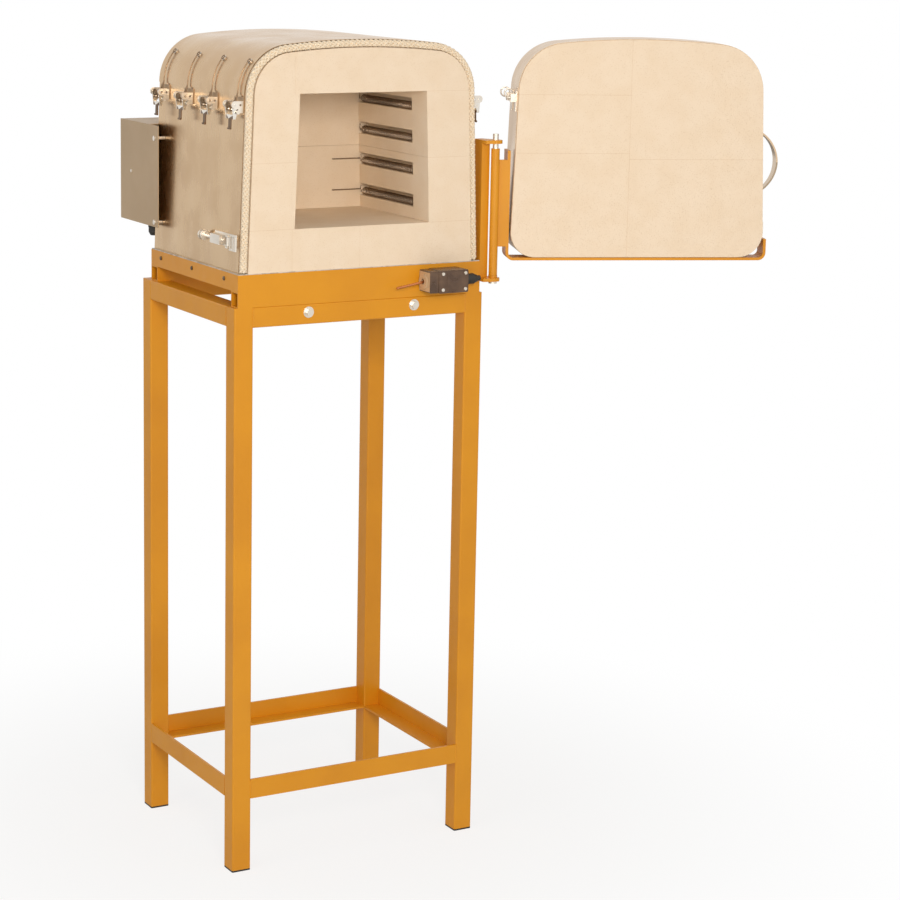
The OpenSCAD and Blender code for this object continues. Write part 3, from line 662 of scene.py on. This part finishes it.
@dataclass
class Arch:
    """The kiln's front outline: leaning sides, two round corners and a shallow crown."""

    half_width: float = 0.231
    foot_z: float = 1.0575
    top_z: float = 1.448
    lean: float = math.radians(2.05)
    corner: float = 0.085
    crown: float = 1.4

    def side_normal(self) -> Vector:
        """Outward direction of the right side, in X and Z."""
        return Vector((math.cos(self.lean), math.sin(self.lean)))

    def corner_centre(self) -> Vector:
        """Finds the centre of the right corner's arc.

        Returns:
            The centre, in X and Z.
        """
        normal = self.side_normal()
        along = Vector((-normal.y, normal.x))
        start = Vector((self.half_width, self.foot_z)) - self.corner * normal
        offset = start - self.crown_centre()
        dot = offset.dot(along)
        reach = -dot + math.sqrt(dot * dot - offset.dot(offset) + (self.crown - self.corner) ** 2)
        return start + reach * along

    def crown_centre(self) -> Vector:
        """Centre of the crown's arc, in X and Z."""
        return Vector((0.0, self.top_z - self.crown))

    def side_x(self, z: float, inset: float = 0.0) -> float:
        """X of the right side at a height."""
        return self.half_width - inset / math.cos(self.lean) - (z - self.foot_z) * math.tan(self.lean)

    def line(self, inset: float, step: float) -> list[tuple[Vector, Vector]]:
        """Points and outward directions from the right foot over the top to the left foot.

        Args:
            inset: Distance inside the outline.
            step: Spacing of the points.

        Returns:
            Pairs of a point and a direction, in X and Z.
        """
        normal, centre, crown = self.side_normal(), self.corner_centre(), self.crown_centre()
        direction = (centre - crown).normalized()
        top_angle = math.atan2(direction.y, direction.x)
        foot = Vector((self.side_x(self.foot_z, inset), self.foot_z))
        head = centre + (self.corner - inset) * normal
        count = max(2, round((head - foot).length / step))
        right = [(foot.lerp(head, k / count), normal.copy()) for k in range(count)]
        for middle, radius, start, end in (
            (centre, self.corner - inset, self.lean, top_angle),
            (crown, self.crown - inset, top_angle, math.pi / 2),
        ):
            count = max(2, round(radius * (end - start) / step))
            for k in range(count):
                angle = start + (end - start) * k / count
                out = Vector((math.cos(angle), math.sin(angle)))
                right.append((middle + radius * out, out))
        top = [(Vector((0.0, self.top_z - inset)), Vector((0.0, 1.0)))]
        left = [(Vector((-p.x, p.y)), Vector((-n.x, n.y))) for p, n in reversed(right)]
        return right + top + left


@dataclass
class RopeSeal:
    """The braided ceramic rope round the front edge."""

    arch: Arch
    centre_inset: float = 0.0069
    centre_y: float = -0.1902
    strands: int = 4
    strand_radius: float = 0.00195
    lay: float = 0.036
    mean_radius: float = 0.0037
    wave: float = 0.0011
    step: float = 0.0012
    foot_gap: float = 0.0015
    core_radius: float = 0.0031
    core_every: int = 8
    core_sides: int = 12

    def strand(self, line: list[tuple[Vector, Vector]], number: int, turn: int) -> list[Vector]:
        """Points of one strand, which passes over and under those of the other direction.

        Args:
            line: The rope's own line.
            number: Which strand.
            turn: 1 or -1, the direction round the rope.

        Returns:
            The strand's points.
        """
        points, run, last = [], 0.0, line[0][0]
        for place, out in line:
            run += (place - last).length
            last = place
            angle = turn * math.tau * run / self.lay + math.tau * number / self.strands
            crossing = math.tau * self.strands * run / self.lay
            radius = self.mean_radius + turn * self.wave * math.cos(crossing)
            side, up = radius * math.sin(angle), radius * math.cos(angle)
            points.append(Vector((place.x + up * out.x, self.centre_y + side, place.y + up * out.y)))
        return points

    def build(self) -> None:
        """Lays the strands of both directions and the core, whose darker colour is painted shade between
        the strands.
        """
        foot = self.arch.foot_z + self.foot_gap
        line = [(p, n) for p, n in self.arch.line(self.centre_inset, self.step) if p.y > foot]
        for turn, name in ((1, "rope_braid_right_lay"), (-1, "rope_braid_left_lay")):
            lines = [self.strand(line, k, turn) for k in range(self.strands)]
            piece = wires(lines, self.strand_radius, name, Look.ROPE, "root")
            if turn == 1:
                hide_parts("rope_seal")
        # The core's darker finish is painted shade seen between the strands.
        core = [Vector((p.x, self.centre_y, p.y)) for p, _ in line[:: self.core_every]]
        wires([core], self.core_radius, "rope_core_painted_shade", Look.ROPE_CORE_PAINTED_SHADE, "root", self.core_sides)
        LOG.info("rope: %d strands over %d points", 2 * self.strands, len(line))


@dataclass
class Windings:
    """The wound heating wire in the grooves of both walls, with its tails."""

    chamber_half: float = 0.1305
    floor_z: float = 1.130
    lean: float = math.radians(2.05)
    first_row: float = 0.032
    pitch: float = 0.0564
    rows: int = 4
    inward: float = 0.008
    drop: float = 0.0033
    radius: float = 0.0064
    wire: float = 0.00095
    start_y: float = -0.1345
    end_y: float = 0.0525
    turns: int = 34
    turn_steps: int = 14
    wire_sides: int = 6
    tail_wire: float = 0.0011
    tail_gap: float = 0.001
    tail_rise: tuple[tuple[float, float], ...] = ((0.0, -0.001), (0.0015, 0.003), (0.002, 0.0105))

    def row_z(self, row: int) -> float:
        """Height of a groove's middle."""
        return self.floor_z + self.first_row + row * self.pitch

    def centre(self, side: int, row: int) -> Vector:
        """Start of a coil's axis.

        Args:
            side: 1 for the right wall and -1 for the left.
            row: The row, from below.

        Returns:
            The point.
        """
        z = self.row_z(row)
        x = self.chamber_half - (z - self.floor_z) * math.tan(self.lean) + self.inward
        return Vector((side * x, self.start_y, z - self.drop))

    def coil(self, bm: bmesh.types.BMesh, centre: Vector) -> None:
        """Winds one coil by turning a ring of the wire round the coil's axis.

        Args:
            bm: The mesh that takes it.
            centre: Start of the coil's axis.
        """
        place = Matrix.Translation(centre + Vector((self.radius, 0, 0)))
        ring = bmesh.ops.create_circle(
            bm, cap_ends=True, radius=self.wire, segments=self.wire_sides, matrix=place
        )
        faces = {face for vert in ring["verts"] for face in vert.link_faces}
        steps = self.turns * self.turn_steps
        bmesh.ops.spin(
            bm,
            geom=[*ring["verts"], *{edge for face in faces for edge in face.edges}, *faces],
            cent=centre,
            axis=(0, 1, 0),
            dvec=(0, (self.end_y - self.start_y) / steps, 0),
            angle=math.tau * self.turns,
            steps=steps,
            use_merge=False,
            use_normal_flip=False,
            use_duplicate=False,
        )

    def tails(self) -> list[list[Vector]]:
        """Draws the ends of the wire at the rear wall, where each coil turns up in its groove.

        Returns:
            The points of each tail.
        """
        lines = []
        for side in (-1, 1):
            for row in range(self.rows):
                middle = self.centre(side, row)
                x = middle.x - side * (self.radius + self.tail_gap)
                y = self.end_y + self.tail_gap
                lines.append([Vector((x, y + back, middle.z + up)) for back, up in self.tail_rise])
        return lines

    def build(self) -> None:
        """Winds every coil and adds the tails."""
        for side, name in ((-1, "coils_left_wall"), (1, "coils_right_wall")):
            bm = bmesh.new()
            for row in range(self.rows):
                self.coil(bm, self.centre(side, row))
            piece = piece_from(bm, name, Look.WIRE, "root")
            if side == 1:
                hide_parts("heating_coils")
        wires(self.tails(), self.tail_wire, "coil_tails", Look.WIRE, "root")
        LOG.info("coils: %d rows of %d turns on each wall", self.rows, self.turns)


@dataclass
class SlottedScrew:
    """A screw head that lies on a face, with a bar across it where its slot is."""

    radius: float = 0.0029
    height: float = 0.0006
    slot: float = 0.0007
    segments: int = 24
    edge_share: float = 0.4
    bar_reach: float = 2.1
    bar_share: float = 0.5
    bar_level: float = 0.8

    def add(self, bm: bmesh.types.BMesh, place: Matrix) -> None:
        """Adds a round head with a raised bar across it.

        Args:
            bm: The mesh that takes it.
            place: The head's place, with its outward direction along local Z.
        """
        circle = bmesh.ops.create_circle(bm, cap_ends=True, radius=self.radius, segments=self.segments)
        start = circle["verts"]
        faces = list({face for vert in start for face in vert.link_faces})
        raised = bmesh.ops.extrude_face_region(bm, geom=faces)["geom"]
        top = [g for g in raised if isinstance(g, bmesh.types.BMVert)]
        bmesh.ops.translate(bm, verts=top, vec=(0, 0, self.height))
        rim = [g for g in raised if isinstance(g, bmesh.types.BMEdge)]
        done = bmesh.ops.bevel(
            bm,
            geom=rim,
            offset=self.height * self.edge_share,
            affect="EDGES",
            segments=2,
            profile=0.5,
            material=-1,
        )
        verts = [v for v in {*start, *top, *done["verts"]} if v.is_valid]
        bmesh.ops.transform(bm, matrix=place, verts=verts)
        blade = bmesh.ops.create_cube(bm, size=1.0)["verts"]
        size = Matrix.Diagonal((self.bar_reach * self.radius, self.slot, self.height * self.bar_share, 1.0))
        raise_by = Matrix.Translation((0, 0, self.height * self.bar_level))
        bmesh.ops.transform(bm, matrix=place @ raise_by @ size, verts=blade)


def facing(place: Vector, out: Vector, turn: float = 0.0) -> Matrix:
    """Matrix of something that stands on a face.

    Args:
        place: Its foot.
        out: The face's outward direction.
        turn: Turn about that direction, in radians.

    Returns:
        The matrix.
    """
    aimed = out.to_track_quat("Z", "Y").to_matrix().to_4x4()
    return Matrix.Translation(place) @ aimed @ Matrix.Rotation(turn, 4, "Z")


@dataclass
class Stand:
    """The tube stand, the base under the kiln and their fixings."""

    weld: float = 0.0016
    weld_in: float = 0.001
    lower_weld: tuple[float, float] = (0.002, 0.031)
    upper_weld: tuple[float, float] = (-0.0335, 0.032)
    weld_steps: int = 16
    weld_sway: float = 0.0003
    weld_rhythm: float = 2.4
    dark_screw_x: float = 0.2

    def dress(self) -> None:
        """Paints the tubes and rails and finishes caps, bolts and pan."""
        legs = [f"leg_{y}_{x}" for y in ("front", "rear") for x in ("left", "right")]
        dress([*legs, "top_rails", "lower_rails", "cross_beams", "base_frame", "hinge_post"], Look.YELLOW)
        dress(["foot_caps"], Look.RUBBER)
        dress(["floor_pan"], Look.ZINC)
        dress(["frame_screws"], Look.BRIGHT)
        dress_where("frame_screws", Look.DARK_SCREW, lambda c: abs(c.x) > self.dark_screw_x)

    def welds(self) -> None:
        """Lays weld beads where the rails meet the legs."""
        lines = []
        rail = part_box("lower_rails")[0].z
        for foot in ("front", "rear"):
            for hand in ("left", "right"):
                low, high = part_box(f"leg_{foot}_{hand}")
                x = high.x if hand == "left" else low.x
                y = low.y + self.weld_in if foot == "front" else high.y - self.weld_in
                for level, (up, length) in ((rail, self.lower_weld), (high.z, self.upper_weld)):
                    lines.append(self.bead(Vector((x, y, level + up)), length))
        wires(lines, self.weld, "frame_welds", Look.YELLOW, "root")
        LOG.info("stand: %d weld beads", len(lines))

    def bead(self, start: Vector, length: float) -> list[Vector]:
        """Slightly uneven upright line of one bead.

        Args:
            start: Its lowest point.
            length: Its length.

        Returns:
            The points.
        """
        rise = [length * k / self.weld_steps for k in range(self.weld_steps + 1)]
        sway = [self.weld_sway * math.sin(self.weld_rhythm * k) for k in range(self.weld_steps + 1)]
        return [start + Vector((0, y, z)) for y, z in zip(sway, rise)]


@dataclass
class Body:
    """Brickwork, shell, terminal box and the fittings that stay with the kiln."""

    brick_parts: tuple[str, ...] = ("floor", "left_wall", "right_wall", "roof", "rear_wall")
    sheets: tuple[str, ...] = ("side_sheet_left", "side_sheet_right", "top_sheet", "back_panel")
    bright: tuple[str, ...] = ("box_fixings", "hinge_pin", "lock_base", "lock_bail", "lock_knob")
    ceramic: tuple[str, ...] = ("thermocouple", "terminal_block")
    wiring: tuple[str, ...] = ("heating_coils", "coil_leads")

    def dress(self) -> None:
        """Finishes every fixed node of the kiln, and the lock."""
        dress([f"{part}_bricks" for part in self.brick_parts], Look.BRICK)
        dress(self.sheets, Look.SHELL)
        dress(["rope_seal"], Look.ROPE)
        dress(self.wiring, Look.WIRE)
        dress(self.ceramic, Look.SHEATH)
        dress(["terminal_box"], Look.BOX)
        dress(self.bright, Look.BRIGHT)
        dress(["cable_glands"], Look.RUBBER)
        LOG.info("kiln body dressed")


@dataclass
class Cement:
    """Refractory cement in the joints between bricks, a little behind the face."""

    joint: float = 0.0004
    behind: float = 0.0003
    depth: float = 0.003
    foot_z: float = 1.0575
    floor_z: float = 1.130
    course_z: float = 1.243
    roof_z: float = 1.358
    top_z: float = 1.43
    floor_x: tuple[float, float] = (-0.135, -0.005)
    floor_reach: tuple[float, float] = (0.1305, 0.213)
    course_reach: tuple[float, float] = (0.127, 0.21)
    roof_reach: tuple[float, float] = (0.1224, 0.203)
    roof_x: float = -0.131
    door_y: float = -0.200
    door_x: tuple[float, float, float] = (-0.223, 0.019, 0.223)
    door_upright_z: tuple[float, float] = (1.0635, 1.4465)
    door_left_z: float = 1.237
    door_right_z: float = 1.247
    door_upper_z: float = 1.350
    door_upper_less: float = 0.004
    pin: tuple[float, float, float] = (0.259, -0.202, 0.0)
    open_angle: float = math.radians(158)

    def strip(
        self,
        bm: bmesh.types.BMesh,
        face_y: float,
        x: tuple[float, float],
        z: tuple[float, float],
        into: int = 1,
    ) -> None:
        """Fills one straight joint of a brick face.

        Args:
            bm: The mesh that takes it.
            face_y: Y of the brick face.
            x: Ends along X.
            z: Ends along Z.
            into: 1 where the brick lies towards +Y of its face, and -1 where it lies towards -Y.
        """
        near, far = sorted((face_y + into * self.behind, face_y + into * (self.behind + self.depth)))
        cuboid(bm, Vector((x[0], near, z[0])), Vector((x[1], far, z[1])))

    def kiln(self) -> None:
        """Points the joints of the kiln's front face."""
        bm = bmesh.new()
        face_y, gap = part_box("floor_bricks")[0].y, self.joint
        for x in self.floor_x:
            self.strip(bm, face_y, (x - gap / 2, x + gap / 2), (self.foot_z, self.floor_z - gap))
        for side in (-1, 1):
            for reach, z in ((self.floor_reach, self.floor_z), (self.course_reach, self.course_z)):
                left, right = sorted((side * reach[0], side * reach[1]))
                self.strip(bm, face_y, (left, right), (z - gap, z))
        self.strip(bm, face_y, self.roof_reach, (self.roof_z - gap, self.roof_z))
        self.strip(bm, face_y, (self.roof_x, self.roof_x + gap), (self.roof_z, self.top_z))
        piece_from(bm, "kiln_joint_cement", Look.CEMENT, "root", False)

    def door(self) -> None:
        """Points the joints of the door's face, which is turned with the door."""
        bm = bmesh.new()
        half, (left, split, right) = self.joint / 2, self.door_x
        self.strip(bm, self.door_y, (split - half, split + half), self.door_upright_z, -1)
        for start, end, z in (
            (left, split - half, self.door_left_z),
            (split + half, right - self.door_upper_less, self.door_upper_z),
            (split + half, right, self.door_right_z),
        ):
            self.strip(bm, self.door_y, (start, end), (z, z + self.joint), -1)
        pin = Vector(self.pin)
        swing = Matrix.Rotation(self.open_angle, 4, "Z")
        turn = Matrix.Translation(pin) @ swing @ Matrix.Translation(-pin)
        bmesh.ops.transform(bm, matrix=turn, verts=bm.verts[:])
        piece_from(bm, "door_joint_cement", Look.CEMENT, "door", False)

    def build(self) -> None:
        """Points every joint that shows."""
        self.kiln()
        self.door()
        LOG.info("joints pointed")


@dataclass
class Latches:
    """The eight draw latches."""

    arch: Arch
    count: int = 4
    grip: float = 0.021
    plate: float = 0.0021
    plate_top_z: float = 1.356
    sheet_inset: float = 0.0011

    def dress(self) -> None:
        """Finishes levers with dark grips, bails, and brackets with duller plates."""
        dress(["latch_brackets"], Look.BRIGHT)
        dress_where("latch_brackets", Look.PLATE, self.on_plate)
        for hand in ("left", "right"):
            for number in range(1, self.count + 1):
                lever, bail = f"latch_lever_{hand}_{number}", f"latch_bail_{hand}_{number}"
                dress([lever], Look.LEVER)
                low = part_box(lever)[0].z
                dress_where(lever, Look.TAIL, lambda c, limit=low + self.grip: c.z < limit)
                dress([bail], Look.BAIL)
        LOG.info("latches: %d dressed", 2 * self.count)

    def on_plate(self, centre: Vector) -> bool:
        """Says whether a bracket's face lies on the plate, close to the shell."""
        edge = self.arch.side_x(centre.z, self.sheet_inset) + self.plate
        return centre.z < self.plate_top_z and abs(centre.x) < edge


@dataclass
class Switch:
    """The door switch under the front edge."""

    collar_x: float = 0.1131
    face_y: float = -0.2345
    screw_z: tuple[float, float] = (1.015, 1.043)
    screw_x: tuple[float, float] = (0.139, 0.184)
    screw_out: float = 0.0012
    screw_face: float = 0.0002
    screw_turn: float = 0.7
    cover_x: tuple[float, float] = (0.147, 0.177)
    cover_z: tuple[float, float] = (1.013, 1.045)
    cover_out: float = 0.0008
    cover_in: float = 0.0004
    cover_edge: float = 0.0005

    def dress(self) -> None:
        """Finishes the housing, its collar and screws, and the rod."""
        dress(["switch_body"], Look.HOUSING)
        dress_where("switch_body", Look.COLLAR, lambda c: c.x < self.collar_x)
        dress_where("switch_body", Look.BRIGHT, lambda c: c.y < self.face_y - self.screw_face)
        dress(["switch_rod"], Look.COPPER)

    def build(self) -> None:
        """Adds slotted heads on the housing's screws and a raised cover panel."""
        bm = bmesh.new()
        head, out = SlottedScrew(), Vector((0, -1, 0))
        for number, (x, z) in enumerate(product(self.screw_x, self.screw_z)):
            place = Vector((x, self.face_y - self.screw_out, z))
            head.add(bm, facing(place, out, self.screw_turn * number))
        piece_from(bm, "switch_screw_heads", Look.BRIGHT, "root", False)
        bm = bmesh.new()
        low = Vector((self.cover_x[0], self.face_y - self.cover_out, self.cover_z[0]))
        high = Vector((self.cover_x[1], self.face_y + self.cover_in, self.cover_z[1]))
        cuboid(bm, low, high)
        bmesh.ops.bevel(
            bm,
            geom=bm.edges[:],
            offset=self.cover_edge,
            affect="EDGES",
            segments=2,
            profile=0.5,
            material=-1,
        )
        piece_from(bm, "switch_cover", Look.HOUSING, "root", False)
        LOG.info("switch dressed")


@dataclass
class Door:
    """The door with its carrier, handle and small fittings."""

    sheets: tuple[str, ...] = ("door_band", "door_back")

    def dress(self) -> None:
        """Finishes the door's nodes."""
        dress(["door_bricks"], Look.BRICK)
        dress(self.sheets, Look.SHELL)
        dress(["door_carrier"], Look.YELLOW)
        dress(["door_handle"], Look.HANDLE)
        dress(["door_fittings"], Look.BRIGHT)
        LOG.info("door dressed")


@dataclass(frozen=True)
class Lamp:
    """A soft square lamp."""

    name: str
    place: tuple[float, float, float]
    target: tuple[float, float, float]
    size: float
    power: float
    colour: Colour

    def hang(self) -> None:
        """Puts the lamp in the scene."""
        data = bpy.data.lights.new(self.name, "AREA")
        data.size = self.size
        data.energy = self.power
        data.color = self.colour[:3]
        lamp = bpy.data.objects.new(self.name, data)
        aim = (Vector(self.target) - Vector(self.place)).to_track_quat("-Z", "Y")
        lamp.matrix_world = Matrix.Translation(self.place) @ aim.to_matrix().to_4x4()
        bpy.context.scene.collection.objects.link(lamp)


KILN_MIDDLE = (0.1, 0.0, 1.0)
WARM = srgb(255, 243, 228)
COOL = srgb(255, 250, 243)


@dataclass
class Studio:
    """Camera, pale floor and soft light."""

    azimuth: float = 0.51422
    pitch: float = 0.17789
    roll: float = 0.0173
    eye: tuple[float, float, float] = (-1.99769, -3.93455, 1.65892)
    focal_px: float = 2482.6
    image_px: int = 900
    principal_px: tuple[float, float] = (418.5, 360.0)
    sensor: float = 36.0
    clip_end: float = 60.0
    world_level: float = 0.38
    world_colour: Colour = (1.0, 0.975, 0.94, 1.0)
    white: Colour = (1.0, 1.0, 1.0, 1.0)
    floor_half: float = 6.0
    floor_shade: float = 0.8
    floor_fade: tuple[float, float] = (0.3, 1.3)
    floor_colour: Colour = (0.93, 0.93, 0.93, 1.0)
    lamps: tuple[Lamp, ...] = (
        Lamp("key", (1.0, -3.4, 2.4), KILN_MIDDLE, 2.4, 8.0, WARM),
        Lamp("fill", (-1.2, -3.4, 1.95), (0.05, 0.0, 1.2), 0.9, 56.0, WARM),
        Lamp("side", (-3.2, -1.0, 2.2), KILN_MIDDLE, 2.0, 16.0, COOL),
        Lamp("top", (0.0, 0.4, 3.6), KILN_MIDDLE, 2.2, 8.0, COOL),
    )

    def camera(self) -> None:
        """Places the camera at the photograph's viewing angle."""
        ca, sa = math.cos(self.azimuth), math.sin(self.azimuth)
        forward = Vector((sa * math.cos(self.pitch), ca * math.cos(self.pitch), -math.sin(self.pitch)))
        right = Vector((ca, -sa, 0.0))
        up = right.cross(forward)
        rolled_right = right * math.cos(self.roll) + up * math.sin(self.roll)
        rolled_up = up * math.cos(self.roll) - right * math.sin(self.roll)
        data = bpy.data.cameras.new("camera")
        data.sensor_width = self.sensor
        data.lens = self.focal_px * self.sensor / self.image_px
        data.shift_x = 0.5 - self.principal_px[0] / self.image_px
        data.shift_y = self.principal_px[1] / self.image_px - 0.5
        data.clip_end = self.clip_end
        camera = bpy.data.objects.new("camera", data)
        turn = Matrix((rolled_right, rolled_up, -forward)).transposed().to_4x4()
        camera.matrix_world = Matrix.Translation(self.eye) @ turn
        bpy.context.scene.collection.objects.link(camera)
        bpy.context.scene.camera = camera

    def world(self) -> None:
        """Lights the scene softly from all round and shows white behind the kiln."""
        world = bpy.data.worlds.new("studio")
        bpy.context.scene.world = world
        nodes = Nodes(world)
        path = nodes.add("ShaderNodeLightPath").outputs
        rays = [Socket(nodes, path[f"Is {kind} Ray"]) for kind in ("Camera", "Transmission", "Glossy")]
        limit = {"operation": "ADD", "use_clamp": True}
        direct = nodes.node("ShaderNodeMath", limit, {0: rays[0], 1: rays[1]})
        seen = nodes.node("ShaderNodeMath", limit, {0: direct, 1: rays[2]})
        soft = {"Color": self.world_colour, "Strength": self.world_level}
        sockets = {
            0: seen,
            1: nodes.node("ShaderNodeBackground", None, soft),
            2: nodes.node("ShaderNodeBackground", None, {"Color": self.white}),
        }
        mixed = nodes.node("ShaderNodeMixShader", None, sockets)
        nodes.add("ShaderNodeOutputWorld", None, {"Surface": mixed})

    def floor(self) -> None:
        """Lays a pale floor that fades into the white background away from the stand."""
        bm = bmesh.new()
        bmesh.ops.create_grid(bm, x_segments=1, y_segments=1, size=self.floor_half)
        mesh = bpy.data.meshes.new("floor")
        bm.to_mesh(mesh)
        bm.free()
        shader = Shader("studio_floor")
        reach = shader.node("ShaderNodeVectorMath", {"operation": "LENGTH"}, {0: shader.place}, "Value")
        far = shader.between(reach, *self.floor_fade) * (1 - self.floor_shade) + self.floor_shade
        shader.set(Base_Color=self.floor_colour, Roughness=0.9)
        glow = shader.node("ShaderNodeEmission", None, {"Color": self.white, "Strength": 1.0})
        seen = shader.node("ShaderNodeLightPath", None, None, "Is Camera Ray")
        mixed = shader.node("ShaderNodeMixShader", None, {0: far * seen, 1: shader.result, 2: glow})
        shader.feed(shader.output.inputs["Surface"], mixed)
        mesh.materials.append(shader.material)
        floor = bpy.data.objects.new("floor", mesh)
        bpy.context.scene.collection.objects.link(floor)

    def build(self) -> None:
        """Sets up camera, floor and lights."""
        self.camera()
        self.world()
        self.floor()
        for lamp in self.lamps:
            lamp.hang()
        bpy.context.scene.view_settings.view_transform = "Standard"
        LOG.info("studio ready")


def main() -> None:
    """Builds and dresses every sub-assembly in order."""
    logging.basicConfig(level=logging.INFO, format="%(name)s: %(message)s")
    stand = Stand()
    stand.dress()
    stand.welds()
    Body().dress()
    arch = Arch()
    RopeSeal(arch).build()
    Windings().build()
    Cement().build()
    Latches(arch).dress()
    switch = Switch()
    switch.dress()
    switch.build()
    Door().dress()
    Studio().build()


if __name__ == "__main__":
    main()
